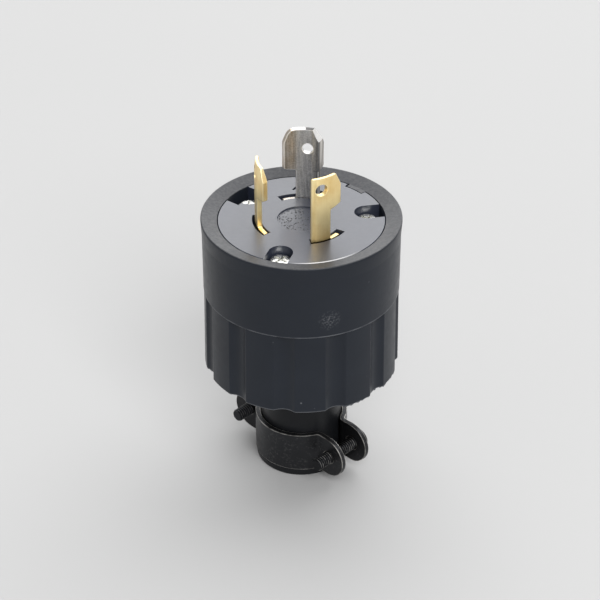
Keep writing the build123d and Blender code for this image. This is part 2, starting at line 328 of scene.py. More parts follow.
def combine(operation, first, second):
    return add_node(first.id_data, "ShaderNodeMath", {0: first, 1: second}, operation=operation).outputs[0]


def product(value, *others):
    for other in others:
        value = combine("MULTIPLY", value, other)
    return value


def coordinate(place, axis):
    return add_node(place.id_data, "ShaderNodeSeparateXYZ", {0: place}).outputs[axis]


def measure(operation, *vectors):
    """A number from one or two vectors: a length, a distance or a dot product."""
    made = add_node(vectors[0].id_data, "ShaderNodeVectorMath", dict(enumerate(vectors)), operation=operation)
    return made.outputs["Value"]


def from_axis(place):
    """How far a place is from the plug's axis."""
    flat = add_node(place.id_data, "ShaderNodeVectorMath", {0: place, 1: (1, 1, 0)}, operation="MULTIPLY")
    return measure("LENGTH", flat.outputs[0])


def brass_finish(name, bright):
    """Rolled brass: satin, tarnished in clouds, with painted shade outside in its slot and a painted dark
    reflection low on the blade, brighter where coined.
    """
    tarnish = (0.90, 0.72, 0.38) if bright else (0.82, 0.585, 0.24)
    clean = (0.97, 0.84, 0.52) if bright else (1.0, 0.82, 0.43)
    painted_reflection_tone = (0.50, 0.335, 0.115)
    slot_shade = (0.03, 0.022, 0.012)
    material, shader, place = new_finish(name, Metallic=0.8)
    cloud = grain(place, 130, 4)
    drawn = grain(place, 2200, 3, (1, 1, 0.05))
    up = coordinate(place, "Z")
    share = combine("ADD", band(cloud, 0.36, 0.6, 0.1, 1.0), band(drawn, 0.3, 0.7, -0.08, 0.08))
    # Painted reflection: low on the blade, near the insert's face, the brass is dulled in clouds, as if it
    # reflected the black insert.
    low = product(band(up, face_height + 0.001, face_height + 0.010, 0.15, 0.0),
                  band(cloud, 0.3, 0.6, 0.5, 1.0))
    # Painted shade: a near-black band on the outside face just below the insert's face, where the blade goes
    # down into its slot.
    slot_shade_mask = product(band(from_axis(place), blade_outer_radius - 0.0004, blade_outer_radius - 0.0002),
                      band(up, face_height - 0.0014, face_height - 0.0010),
                      band(up, face_height - 0.00015, face_height, 1.0, 0.0))
    coat = blend(low, blend(share, tarnish, clean), painted_reflection_tone)
    paint(shader, blend(slot_shade_mask, coat, slot_shade), band(drawn, 0.25, 0.75, 0.30, 0.42))
    give_relief(shader, drawn, 0.000004, 0.6)
    return material


brass = brass_finish("rolled_brass", bright=False)
coined_brass = brass_finish("coined_brass", bright=True)
line_span = radians(43.5)
line_hook_span = radians(17.5)
line_hole_radius = 0.0017
line_hole_height = 0.016
line_head_round = 0.0006
lead_in_height = 0.0028
lead_in_share = 0.5
line_start_angles = {"front": radians(-78), "left": radians(173)}

for side, start in line_start_angles.items():
    node = f"{side}_line_blade"
    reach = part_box(node)[1].z - face_height
    length = line_span * blade_radius
    hook_length = line_hook_span * blade_radius
    hole = circle_outline((length + hook_length) / 2, face_height + line_hole_height, line_hole_radius)
    blade = cut_plate(rounded(blade_outline(length, hook_length, reach, line_head_round)), [hole],
                      blade_thickness, blade_edge, arc_cuts(line_span + 2 * foot_margin))

    def round_the_axis(along, off, up, tip=start + line_span, top=face_height + reach):
        thinned = 1 - lead_in_share * max(1 - (top - up) / lead_in_height, 0)
        return toward(tip - along / blade_radius) * (blade_radius + off * thinned)

    bend_plate(blade, round_the_axis)
    add_tail(blade, start + line_span / 2)
    stand_for(to_piece(f"{side}_brass_blade", blade, brass, coined_brass), "brass", node)


# Earth blade: longer, stamped from the same sheet and nickel-plated, with the plain edge of
# its head turned out into a tab. It is trapped in the plug as the line blades are.
earth_start = radians(65.5)
earth_span = radians(49.5)
earth_hook_span = radians(17.7)
earth_hole_radius = 0.0016
earth_hole_height = 0.01615
earth_head_round = 0.0028
tab_out = 0.0024
tab_flat_from = 0.0004
tab_top_round = 0.0005
tab_bottom_round = 0.0006
tab_corner_outside = 0.0006
tab_corner_inside = 0.0002
tab_bend_lead = radians(10)
tab_bend_length = 0.003
tab_bend_cuts = 26
tab_slot = 0.00012
bend_corner_cut = [(-0.001, -0.005865), (0.0024, 0.001156), (-0.001, 0.0012)]
bend_corner_reach = (0.010, 0.017)
tab_corner_cut = [(0.0127, 0.00125), (0.0161, -0.00725), (0.0161, 0.00125)]
tab_corner_reach = (-0.001, 0.003)

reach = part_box("earth_blade")[1].z - face_height
hook_length = earth_hook_span * blade_radius
arc_length = (earth_span - tab_bend_lead) * blade_radius
tab_from = blade_outer_radius + tab_flat_from
length = arc_length + tab_bend_length + tab_out - tab_flat_from
plain_edge = earth_span * blade_radius
top = face_height + reach
hook = face_height + hook_height
out_at_tab = toward(earth_start)
round_at_tab = Vector((-sin(earth_start), cos(earth_start)))


def nickel_finish(name, bright):
    """Nickel over drawn sheet: satin, with a painted warm reflection at its hooked side, painted shade at the
    bend and on the top edge near it, and painted shade in dark stripes on the tab.
    """
    grey, pale = ((0.90, 0.89, 0.87), (1.0, 0.99, 0.97)) if bright else (
        (0.36, 0.36, 0.37), (0.72, 0.72, 0.715))
    brown, straw = ((0.80, 0.74, 0.66), (0.93, 0.89, 0.83)) if bright else (
        (0.33, 0.27, 0.20), (0.62, 0.53, 0.43))
    sheared = (1.0, 0.99, 0.97)
    fold_shade = (0.06, 0.059, 0.058)
    bend_from, bend_to = blade_inner_radius + 0.0003, blade_inner_radius + 0.0006
    material, shader, place = new_finish(name, Metallic=0.9)
    drawn = grain(place, 1900, 3, (1, 1, 0.08))
    speck = grain(place, 2600, 2)
    cloud = grain(place, 260, 5)
    x = coordinate(place, "X")
    # Painted reflection: a brownish tone over the hooked side of the head.
    warm = product(band(x, -0.0026, -0.0010, 1.0, 0.0), band(cloud, 0.3, 0.65, 0.5, 1.0))
    light = combine("ADD", band(drawn, 0.34, 0.66, 0.0, 0.6), band(speck, 0.35, 0.65, -0.1, 0.4))
    coat = blend(warm, blend(light, grey, pale), blend(light, brown, straw))
    at_top = band(coordinate(place, "Z"), top - 0.00012, top - 0.00004)
    # Painted shade: a near-black mark on the top edge near the bend.
    dark = product(band(x, 0.0007, 0.0013), band(x, 0.0036, 0.0042, 1.0, 0.0), at_top)
    if not bright:
        out = from_axis(place)
        beside = measure("DOT_PRODUCT", place, (*round_at_tab, 0))
        # Painted shade: dark stripes over the tab, which is seen nearly edge-on.
        on_tab = product(band(beside, blade_thickness, blade_thickness + 0.0003, 1.0, 0.0),
                         band(out, bend_from, bend_to))
        tab_shade_stripe = band(grain(place, 1500, 2, (1, 1, 0.03)), 0.4, 0.6)
        coat = blend(on_tab, coat, blend(tab_shade_stripe, (0.15, 0.14, 0.13), (0.70, 0.67, 0.63)))
        # Painted shade in the inside corner of the bend.
        at_bend = product(band(beside, 0.0003, 0.0013, 0.7, 0.0), band(out, bend_from, bend_to, 1.0, 0.0))
        dark = combine("MAXIMUM", dark, at_bend)
    paint(shader, blend(dark, blend(at_top, coat, sheared), fold_shade), band(speck, 0.3, 0.7, 0.30, 0.44))
    give_relief(shader, combine("ADD", drawn, speck), 0.000006, 0.7)
    return material


def carve(shape, cutter, operation="DIFFERENCE"):
    """Boolean of two closed shapes; both are used up (an object goes with its mesh)."""
    bmesh.ops.recalc_face_normals(cutter, faces=cutter.faces[:])
    pair = [to_object(name, to_mesh(name, part)) for name, part in (("carved", shape), ("cutter", cutter))]
    cut = pair[0].modifiers.new("carve", "BOOLEAN")
    cut.operation = operation
    cut.solver = "EXACT"
    cut.object = pair[1]
    result = bmesh.new()
    take_in(result, settled(pair[0]))
    for part in pair:
        bpy.data.meshes.remove(part.data)
    return result


def corner_path(radius, beside, corner_round):
    """One side of the bend in plan, as (outwards, round) points: off the arc, then out along the tab."""
    lead = (radius * cos(tab_bend_lead), radius * sin(tab_bend_lead))
    corner = (sqrt(radius ** 2 - beside ** 2), beside)
    return rounded([(*lead, 0), (*corner, corner_round), (tab_from, beside, 0)], 8)


def point_along(points, share):
    """The point at a share of a path's length."""
    steps = [(b - a).length for a, b in zip(points, points[1:])]
    left = share * sum(steps)
    for a, b, step in zip(points, points[1:], steps):
        if left <= step:
            return a.lerp(b, left / step)
        left -= step
    return points[-1]


bend_sides = [corner_path(blade_inner_radius, 0, tab_corner_outside),
              corner_path(blade_outer_radius, blade_thickness, tab_corner_inside)]


def earth_path(along, off, up):
    """Hook's tip to plain edge round the axis; above the slot, through the bend and out along the tab."""
    if along <= arc_length or up < hook - tab_slot / 2:
        return toward(earth_start + earth_span - along / blade_radius) * (blade_radius + off)
    across = off / blade_thickness + 0.5
    share = (along - arc_length) / tab_bend_length
    if share <= 1:
        outwards, beside = point_along(bend_sides[0], share).lerp(point_along(bend_sides[1], share), across)
    else:
        outwards, beside = tab_from + along - arc_length - tab_bend_length, across * blade_thickness
    return out_at_tab * outwards + round_at_tab * beside


def cut_corner(blade, ends):
    """Takes a wedge off the head; its ends are three (outwards, round, above the top) corners each."""
    trim = bmesh.new()
    near, far = [[trim.verts.new((*(out_at_tab * outwards + round_at_tab * beside), top + rise))
                  for outwards, beside, rise in end] for end in ends]
    trim.faces.new(near)
    trim.faces.new(list(reversed(far)))
    for k in range(3):
        trim.faces.new((near[k - 1], near[k], far[k], far[k - 1]))
    for face in trim.faces:
        face.material_index = 1
    return carve(blade, trim)


corners = blade_outline(plain_edge, hook_length, reach, earth_head_round)
plain_top = corners.index((plain_edge, top, plain_top_round))
corners[plain_top:plain_top + 1] = [
    (length, top, tab_top_round), (length, hook, tab_bottom_round), (arc_length, hook, 0),
    (arc_length, hook - tab_slot, 0), (plain_edge, hook - tab_slot, 0)]
hole_along = hook_length + (earth_span - earth_hook_span) / 2 * blade_radius
hole = circle_outline(hole_along, face_height + earth_hole_height, earth_hole_radius)
cuts = arc_cuts(earth_span + foot_margin)
cuts += [arc_length + tab_bend_length * k / tab_bend_cuts for k in range(tab_bend_cuts + 1)]
earth = cut_plate(rounded(corners), [hole], blade_thickness, blade_edge, cuts,
                  square=(arc_length, hook - tab_slot, hook))
bend_plate(earth, earth_path)
earth = cut_corner(earth, [[(end, run, rise) for run, rise in bend_corner_cut] for end in bend_corner_reach])
earth = cut_corner(earth, [[(run, end, rise) for run, rise in tab_corner_cut] for end in tab_corner_reach])
add_tail(earth, earth_start + earth_span / 2)
nickel = nickel_finish("drawn_nickel", bright=False)
coined_nickel = nickel_finish("coined_nickel", bright=True)
stand_for(to_piece("nickel_earth_blade", earth, nickel, coined_nickel), "nickel", "earth_blade")


# Face insert: a disc of glossy black thermoset that the blades stand in, moulded with curved
# slots, notches for its screws, a stippled recess in the middle and a notch for the cover's key.
insert_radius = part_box("face_insert")[1].x
insert_edge = 0.00016
insert_round = 0.00025
recess_radius = 0.0068
recess_depth = 0.0004
recess_floor = face_height - recess_depth
recess_floor_round = 0.0001
recess_rim_round = 0.00015
slot_gap_inside = 0.0002
slot_gap_outside = 0.0008
slot_margin_plain = radians(1.2)
slot_margin_hook = radians(4.5)
slit_radius = 0.0176
slit_angle = radians(95)
slit_turn = radians(58)
slit_length = 0.0034
slit_width = 0.0007
slit_depth = 0.0012
key_start = radians(39)
key_end = radians(53.6)
key_depth = 0.0015
key_clearance = 0.00015
key_gap = 1.4 * key_clearance / insert_radius
key_gap_left = 3 * key_gap
face_screw_angles = {"right": radians(11), "rear": radians(143), "front": radians(252.3)}
face_screw_circle = 0.019
face_screw_hole = 0.002
face_head_radius = 0.0032
face_head_height = 0.0024
face_head_sunk = 0.0022
notch_clearance = 0.00025
notch_behind = 0.0036
rear_notch_extra = 0.0029
screw_seat = face_height - face_head_sunk - face_head_height
disc_segments = 256
past = 0.001
below, above = seat_height - past, face_height + past


def round_angles(count):
    return [2 * pi * k / count for k in range(count)]


def turned_shape(profile, angles, moved=None):
    """A closed ring of (radius, height) points turned round the plug's axis; radius 0 closes it.

    moved(radius, height, angle) gives the radius and height that a point has at an angle."""
    shape = bmesh.new()
    rows = []
    for radius, height in profile:
        if radius < 1e-9:
            rows.append([shape.verts.new((0, 0, height))])
            continue
        row = [(a, *(moved(radius, height, a) if moved else (radius, height))) for a in angles]
        rows.append([shape.verts.new((r * cos(a), r * sin(a), h)) for a, r, h in row])
    for low, high in zip(rows, rows[1:] + rows[:1]):
        if len(low) == 1 and len(high) == 1:
            continue
        for k in range(len(angles)):
            n = (k + 1) % len(angles)
            ring = [low[k % len(low)], low[n % len(low)], high[n % len(high)], high[k % len(high)]]
            shape.faces.new(list(dict.fromkeys(ring)))
    bmesh.ops.recalc_face_normals(shape, faces=shape.faces[:])
    return shape


def carve_prisms(shape, prisms, operation="DIFFERENCE"):
    """Boolean with upright prisms, each a plan outline of points with its low and high end."""
    cutter = bmesh.new()
    for outline, low, high in prisms:
        face = cutter.faces.new([cutter.verts.new((p.x, p.y, low)) for p in outline])
        extrude(cutter, [face], (0, 0, high - low))
    return carve(shape, cutter, operation)


def sector_outline(inner, outer, start, end, steps=24):
    """Plan outline of part of a ring."""
    angles = [start + (end - start) * k / steps for k in range(steps + 1)]
    return arc_points(0, 0, outer, angles) + arc_points(0, 0, inner, reversed(angles))


def turned_outline(outline, angle, centre=(0, 0)):
    return [Matrix.Rotation(angle, 2) @ p + Vector(centre) for p in outline]


def notch_outline(extra):
    """A notch with a round inner end, open past the insert's rim, along +X."""
    radius = face_head_radius + notch_clearance
    centre = face_screw_circle - notch_behind + radius
    far = insert_radius + past
    points = arc_points(centre, 0, radius, [pi / 2 + pi * k / 24 for k in range(25)])
    wide = radius + extra
    ends = [far, centre] if extra else [far]
    return [Vector((x, wide)) for x in ends] + points + [Vector((x, -wide)) for x in reversed(ends)]


def screw_round(radius):
    """Round plan outlines at the places of the three face screws."""
    return [circle_outline(*(toward(angle) * face_screw_circle), radius)
            for angle in face_screw_angles.values()]


disc = turned_shape(
    [(0, recess_floor)]
    + [tuple(p) for p in rounded([
        (recess_radius, recess_floor, recess_floor_round), (recess_radius, face_height, recess_rim_round),
        (insert_radius, face_height, insert_round), (insert_radius, seat_height, insert_round),
        (0, seat_height, 0), (0, recess_floor, 0)], 3)[:-2]]
    + [(0, seat_height)], round_angles(disc_segments))
blade_places = [(start, line_span) for start in line_start_angles.values()] + [(earth_start, earth_span)]
slots = [sector_outline(blade_inner_radius - slot_gap_inside, blade_outer_radius + slot_gap_outside,
                        start - slot_margin_plain, start + span + slot_margin_hook)
         for start, span in blade_places]
disc = carve_prisms(disc, [(slot, below, above) for slot in slots])
square_corners = ((-1, -1), (1, -1), (1, 1), (-1, 1))
leg_half = blade_thickness / 2 + slot_gap_inside
leg_far = blade_outer_radius + tab_out + slot_gap_outside
leg_outline = [Vector((leg_far if x > 0 else blade_radius, y * leg_half)) for x, y in square_corners]
tab_leg = turned_outline(leg_outline, earth_start, round_at_tab * blade_thickness / 2)
disc = carve_prisms(disc, [(tab_leg, below, above)])
notches = [turned_outline(notch_outline(rear_notch_extra / 2 if side == "rear" else 0), angle)
           for side, angle in face_screw_angles.items()]
disc = carve_prisms(disc, [(notch, screw_seat, above) for notch in notches])
holes = [(hole, below, above) for hole in screw_round(face_screw_hole)]
slit_outline = [Vector((x * slit_length / 2, y * slit_width / 2)) for x, y in square_corners]
slit = turned_outline(slit_outline, slit_turn, toward(slit_angle) * slit_radius)
key_notch = sector_outline(insert_radius - key_depth - key_clearance, insert_radius + past,
                           key_start - key_gap, key_end + key_gap_left)
disc = carve_prisms(disc, holes + [(slit, face_height - slit_depth, above), (key_notch, below, above)])
bmesh.ops.remove_doubles(disc, verts=disc.verts[:], dist=0.00002)
bmesh.ops.dissolve_limit(disc, angle_limit=radians(0.5), verts=disc.verts[:], edges=disc.edges[:])
top_rims = [edge for edge in sharp_edges(disc, radians(60))
            if all(v.co.z > face_height - recess_depth / 2 for v in edge.verts)]
bmesh.ops.bevel(disc, geom=top_rims, offset=insert_edge, segments=2, profile=0.6,
                affect="EDGES", loop_slide=False, clamp_overlap=True)


def cells(place, scale):
    """Random cells on Object coordinates: a chance for each from 0 to 1, and the distance to its middle."""
    made = add_node(place.id_data, "ShaderNodeTexVoronoi", {"Vector": place, "Scale": scale})
    chance = add_node(place.id_data, "ShaderNodeSeparateColor", {0: made.outputs["Color"]}).outputs[0]
    return chance, made.outputs["Distance"]


def thermoset_finish():
    """Glossy moulding with pits in the recess, thinning to the right and painted darker as shade inside them,
    and a painted highlight line at the front rim.
    """
    material, shader, place = new_finish("glossy_thermoset", Specular_IOR_Level=0.86)
    plain = blend(grain(place, 160, 4), (0.017, 0.0215, 0.037), (0.025, 0.030, 0.047))
    away = from_axis(place)
    x, y = coordinate(place, "X"), coordinate(place, "Y")
    inside = band(away, recess_radius - 0.0004, recess_radius - 0.0001, 1.0, 0.0)
    chance, apart = cells(place, 1500.0)
    chosen = combine("GREATER_THAN", chance, band(x, -0.004, 0.004, 0.1, 0.75))
    pit = product(band(apart, 0.22, 0.42, 1.0, 0.0), inside, chosen)
    # Painted highlight: a pale line along the front of the rim.
    rim = product(band(away, insert_radius - 0.00035, insert_radius - 0.00015),
                  band(y, -0.021, -0.0165, 1.0, 0.0), band(x, -0.004, 0.003))
    # The pits are real; their darker colour is painted shade inside them.
    pitted = blend(pit, plain, (0.003, 0.003, 0.004))
    sheen = band(grain(place, 700, 3), 0.3, 0.7, 0.30, 0.36)
    paint(shader, blend(rim, pitted, (0.55, 0.55, 0.56)), combine("ADD", sheen, product(pit, 0.5)))
    relief = combine("SUBTRACT", grain(place, 900, 2), product(pit, 9.0))
    give_relief(shader, relief, 0.000012)
    return material


stand_for(to_piece("moulded_insert", disc, thermoset_finish()), "black_insert", "face_insert")


# Outer cover: one moulding of black rubber with a wide lip, a smooth band, a fluted grip and
# a round neck. It is held to the insert by the face screws, in brass bushes moulded into it.
lip_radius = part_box("outer_cover")[1].x
lip_height = 0.0837
band_radius = 0.02835
band_bottom = 0.0607
lip_flare_height = 0.005
lip_land = 0.001
grip_bottom = 0.035
grip_top_radius = 0.0282
grip_radius = 0.0286
grip_skin_share = 0.95
flash_skin_share = 0.92
groove_count = 12
groove_angle = radians(20)
groove_depth = 0.0012
groove_width = 0.0064
groove_arris = 0.0003
groove_pitch = 2 * pi / groove_count
groove_half = groove_width / 2 / grip_radius
arris_from, arris_to = 0.88 * groove_half, 1.12 * groove_half
neck_radius = 0.0121
bead_radius = 0.0136
bead_height = 0.00255
cord_bore_radius = 0.0085
bore_top = 0.0335
bore_flare_radius = 0.0105
chamber_low = 0.038
chamber_high = 0.043
chamber_radius = 0.0226
insert_bore = insert_radius + key_clearance
boss_radius = 0.0042
boss_top = 0.071
bush_radius = 0.0028
bush_length = 0.008
flash_places = [(radians(-170), radians(-146)), (radians(-66), radians(-4))]
flash_fade = radians(6)
flash_height = 0.0008
flash_from = grip_bottom + 0.0006
scuff_angle = radians(-74)
scuff_height = 0.0662


def groove_dip(angle):
    """How far the flutes fall below the grip's round at this angle."""
    scoop = (groove_width ** 2 / 4 + groove_depth ** 2) / (2 * groove_depth)
    centre = grip_radius + scoop - groove_depth
    off = (angle - groove_angle + groove_pitch / 2) % groove_pitch - groove_pitch / 2
    inside = scoop ** 2 - (centre * sin(off)) ** 2
    floor = grip_radius + groove_width if inside <= 0 else centre * cos(off) - sqrt(inside)
    near = max(groove_arris - abs(grip_radius - floor), 0) / groove_arris
    return grip_radius - min(grip_radius, floor) + near * near * groove_arris / 4


def flash_on(angle):
    """Ragged flash along the grip's lower edge, on the parts of it that were trimmed worst."""
    turned = (angle + pi) % (2 * pi) - pi
    for start, end in flash_places:
        if start < turned < end:
            fade = min(turned - start, end - turned) / flash_fade
            ragged = (noise.noise(Vector((turned * 45, 0, 4.0)))
                      + 0.8 * noise.noise(Vector((turned * 130, 2.0, 0))))
            return max(ragged, 0.0) * flash_height * min(fade, 1.0)
    return 0.0


def fluted(radius, height, angle):
    """A point of the cover's profile at an angle, sunk in the flutes and lowered by the flash."""
    if grip_bottom - 1e-6 <= height < band_bottom - 1e-6 and radius > grip_radius * grip_skin_share:
        radius -= groove_dip(angle)
    if height < flash_from and radius > grip_radius * flash_skin_share:
        height -= flash_on(angle)
    return radius, height


cover_profile = rounded([
    (cord_bore_radius, 0, 0.0004), (bead_radius, 0, 0.0006), (bead_radius, bead_height, 0.0006),
    (neck_radius, bead_height, 0.0003), (neck_radius, grip_bottom, 0.0008),
    (grip_radius, grip_bottom, 0.0005), (grip_top_radius, band_bottom - 0.000004, 0.0),
    (band_radius, band_bottom, 0.00014), (band_radius, lip_height - lip_flare_height, 0.01),
    (lip_radius, lip_height - lip_land, 0.001), (lip_radius, lip_height, 0.00035),
    (insert_bore, face_height, 0.00018), (insert_bore, seat_height, 0.0002),
    (chamber_radius, seat_height, 0.0003), (chamber_radius, chamber_high, 0.002),
    (bore_flare_radius, chamber_low, 0.002), (cord_bore_radius, bore_top, 0.003),
], 4)
steps = ([arris_from * k / 8 for k in range(8)]
         + [arris_from + (arris_to - arris_from) * k / 10 for k in range(10)]
         + [arris_to + (groove_pitch / 2 - arris_to) * k / 5 for k in range(5)])
offsets = [-groove_pitch / 2] + [-step for step in reversed(steps[1:])] + steps
angles = [groove_angle + groove_pitch * k + off for k in range(groove_count) for off in offsets]
cover = turned_shape(cover_profile, angles, fluted)
bosses = [(boss, chamber_low - past, boss_top) for boss in screw_round(boss_radius)]
key = sector_outline(insert_bore - key_depth, insert_bore + past, key_start, key_end)
cover = carve_prisms(cover, bosses + [(key, below, face_height)], "UNION")
bush_holes = [(hole, boss_top - bush_length, boss_top + past) for hole in screw_round(bush_radius)]
cover = carve_prisms(cover, bush_holes)


def rubber_finish():
    """Satin moulded rubber: fine grain, dust specks, a powdery scuff, rubbed edges with painted highlights on
    them, painted shade on the neck, and a lip top painted lighter grey, partly wear and partly painted
    reflection.
    """
    material, shader, place = new_finish("moulded_rubber", Specular_IOR_Level=0.21)
    up = coordinate(place, "Z")
    scuff_at = (band_radius * cos(scuff_angle), band_radius * sin(scuff_angle), scuff_height)
    near = band(measure("DISTANCE", place, scuff_at), 0.0006, 0.0036, 1.0, 0.0)
    powder = product(near, band(grain(place, 1700, 3), 0.47, 0.62))
    dust = 0.0
    for scale, share, size, strength in ((260.0, 0.08, 0.09, 0.3), (430.0, 0.07, 0.10, 0.14)):
        chance, apart = cells(place, scale)
        dot = product(band(chance, 1 - share, 1.02 - share), band(apart, size / 3, size, strength, 0.0))
        dust = combine("ADD", dot, dust)
    coat = blend(grain(place, 90, 4), (0.0100, 0.0124, 0.0176), (0.0150, 0.0184, 0.0255))
    # Painted shade: the neck under the grip is darkened.
    neck_shade = band(up, grip_bottom - 0.003, grip_bottom - 0.0015, 0.8, 0.0)
    coat = blend(neck_shade, coat, (0.0065, 0.0066, 0.0070))
    coat = blend(product(powder, 0.42), coat, (0.16, 0.165, 0.175))
    # Lighter band and grip edges: partly rubbed wear, partly painted highlight along the edges.
    band_edge = product(combine("LESS_THAN", up, band_bottom + 0.0004),
                        band(up, band_bottom - 0.00004, band_bottom))
    grip_edge = product(combine("GREATER_THAN", up, grip_bottom - 0.0005),
                        band(up, grip_bottom + 0.0002, grip_bottom + 0.0006, 2.4, 0.0))
    wear_and_painted_light = product(combine("ADD", band_edge, grip_edge), band(grain(place, 300, 3), 0.35, 0.6, 0.25, 1.0))
    coat = blend(wear_and_painted_light, coat, (0.085, 0.09, 0.10))
    # Lip top painted lighter grey: partly worn rubber, partly painted reflection of the light above.
    lip_top = band(from_axis(place), insert_bore, lip_radius, face_height, lip_height)
    lip_wear_and_reflection = product(band(combine("SUBTRACT", up, lip_top), -0.0003, -0.0001),
                     band(grain(place, 1200, 4), 0.35, 0.65, 0.45, 1.0))
    coat = blend(lip_wear_and_reflection, coat, (0.055, 0.056, 0.060))
    wiped = grain(place, 70, 4, (1, 1, 0.3))
    satin = combine("ADD", band(grain(place, 480, 3), 0.3, 0.7, 0.28, 0.35),
                    band(wiped, 0.35, 0.65, 0.0, 0.06))
    paint(shader, blend(dust, coat, (0.35, 0.36, 0.38)), combine("ADD", satin, product(powder, 0.3)))
    give_relief(shader, grain(place, 3200, 2), 0.00001)
    return material


stand_for(to_piece("rubber_cover", cover, rubber_finish(), sharp=radians(38)), "black_cover", "outer_cover")


# Screw bushes: three turned brass sleeves moulded into the cover's bosses, tapped for the face
# screws. Terminal saddles: pressed plates of zinc-plated steel under the terminal screws.
def zinc_finish():
    """Bright zinc plate with slight clouding and fine turning marks."""
    material, shader, place = new_finish("zinc_plate", Metallic=1.0)
    cloud = grain(place, 900, 4)
    paint(shader, blend(cloud, (0.62, 0.62, 0.60), (0.90, 0.90, 0.87)), band(cloud, 0.3, 0.7, 0.16, 0.34))
    give_relief(shader, grain(place, 2400, 3), 0.00001)
    return material


zinc = zinc_finish()
terminal_sides = ("front", "left", "earth")
for side in face_screw_angles:
    finish_node(f"{side}_screw_bush", brass)
for side in terminal_sides:
    finish_node(f"{side}_terminal_saddle", zinc)


# Face and terminal screws: zinc-plated pan-head machine screws with cross drives. Three draw
# the insert into the cover, and one on each blade tail grips a wire under its saddle.
head_rim_share = 0.96
head_crown_round = 0.0008
head_seat_round = 0.0002
drive_round = 0.0002
drive_edge = 0.00006
screw_sharp = radians(35)


def screw_head(radius, height, drive_width, drive_length, drive_depth):
    """A pan head standing on the origin, with a cross drive cut into its crown."""
    outline = rounded([(0, 0, 0), (radius, 0, head_seat_round),
                       (radius, height * head_rim_share, head_crown_round), (0, height, 0)], 6)
    head = turned_shape([(0, 0)] + [tuple(p) for p in outline[1:-1]] + [(0, height)], round_angles(48))
    corners = [(x * drive_length / 2, y * drive_width / 2, drive_round) for x, y in square_corners]
    for turn in (0, pi / 2):
        bar = turned_outline(rounded(corners, 3), turn)
        head = carve_prisms(head, [(bar, height - drive_depth, height + past)])
    bmesh.ops.bevel(head, geom=sharp_edges(head, radians(50)), offset=drive_edge, segments=1,
                    affect="EDGES", clamp_overlap=True)
    mesh = to_mesh("head", head)
    shade_smooth(mesh, screw_sharp)
    return to_object("head", mesh)


def screw_tree():
    """Geometry nodes: on every point of a seat, a head and a threaded shank along its axis."""
    tree = bpy.data.node_groups.new("screws_on_seats", "GeometryNodeTree")
    kinds = {"Seats": "Geometry", "Head": "Object", "Shank Radius": "Float", "Thread Depth": "Float",
             "Pitch": "Float", "Length": "Float", "Finish": "Material", "Screws": "Geometry"}
    for name, kind in kinds.items():
        way = "OUTPUT" if name == "Screws" else "INPUT"
        tree.interface.new_socket(name, in_out=way, socket_type=f"NodeSocket{kind}")
    given = add_node(tree, "NodeGroupInput").outputs

    def make(kind, inputs=None, family="GeometryNode", output=0, **settings):
        return add_node(tree, family + kind, inputs, **settings).outputs[output]

    def turn(kind, inputs, output=0, **settings):
        return make(kind, inputs, "FunctionNode", output, **settings)

    def down(size, share):
        """A vector down the screw's axis, by a share of one of its sizes."""
        return make("CombineXYZ", {2: combine("MULTIPLY", size, -share)}, "ShaderNode")

    core = combine("SUBTRACT", given["Shank Radius"], given["Thread Depth"])
    turns = combine("DIVIDE", given["Length"], given["Pitch"])
    path = make("CurvePrimitiveCircle", {"Resolution": 36, "Radius": core}, mode="RADIUS")
    ridge = make("CurvePrimitiveCircle", {"Resolution": 4, "Radius": given["Thread Depth"]}, mode="RADIUS")
    crest = make("CurveToMesh", {"Curve": path, "Profile Curve": ridge})
    line = make("MeshLine", {"Count": turns, "Start Location": down(given["Pitch"], 0.5),
                             "Offset": down(given["Pitch"], 1.0)}, mode="OFFSET")
    thread = make("InstanceOnPoints", {"Points": line, "Instance": crest})
    rod = make("MeshCylinder", {"Vertices": 32, "Radius": core, "Depth": given["Length"]})
    rod = make("Transform", {"Geometry": rod, "Translation": down(given["Length"], 0.5)})
    head = make("ObjectInfo", {"Object": given["Head"]}, output="Geometry")
    screw = add_node(tree, "GeometryNodeJoinGeometry")
    for part in (rod, thread, head):
        tree.links.new(part, screw.inputs[0])
    axis = make("InputNamedAttribute", {"Name": "axis"}, output="Attribute", data_type="FLOAT_VECTOR")
    aim = turn("AlignRotationToVector", {"Vector": axis}, axis="Z")
    spin = turn("RandomValue", {"Seed": 5, 2: 0.0, 3: pi / 2}, output=1, data_type="FLOAT")
    own_turn = turn("AxisAngleToRotation", {"Axis": (0, 0, 1), "Angle": spin})
    turned = turn("RotateRotation", {0: aim, 1: own_turn}, rotation_space="LOCAL")
    points = make("MeshToPoints", {"Mesh": given["Seats"]})
    set_out = make("InstanceOnPoints", {"Points": points, "Instance": screw.outputs[0], "Rotation": turned})
    plain = make("RealizeInstances", {"Geometry": set_out})
    smooth = make("SetShadeSmooth", {0: plain, 2: True})
    dressed = make("SetMaterial", {"Geometry": smooth, "Material": given["Finish"]})
    add_node(tree, "NodeGroupOutput", {0: dressed})
    return tree


screws = screw_tree()


def fit_screws(name, seats, head, sizes, material):
    """Screws at (point, axis) seats, as one plain mesh; each axis points out of the head."""
    mesh = bpy.data.meshes.new(name)
    mesh.from_pydata([point for point, axis in seats], [], [])
    aims = mesh.attributes.new("axis", "FLOAT_VECTOR", "POINT")
    for index, (point, axis) in enumerate(seats):
        aims.data[index].vector = axis
    holder = to_object(name, mesh)
    modifier = holder.modifiers.new("screws", "NODES")
    modifier.node_group = screws
    keys = {item.name: item.identifier for item in screws.interface.items_tree if item.in_out == "INPUT"}
    for key, value in {"Head": head, "Finish": material, **sizes}.items():
        modifier[keys[key]] = value
    plain = settled(holder)
    holder.modifiers.remove(modifier)
    holder.data = plain
    bpy.data.objects.remove(head)
    plain.set_sharp_from_angle(angle=screw_sharp)
    return holder


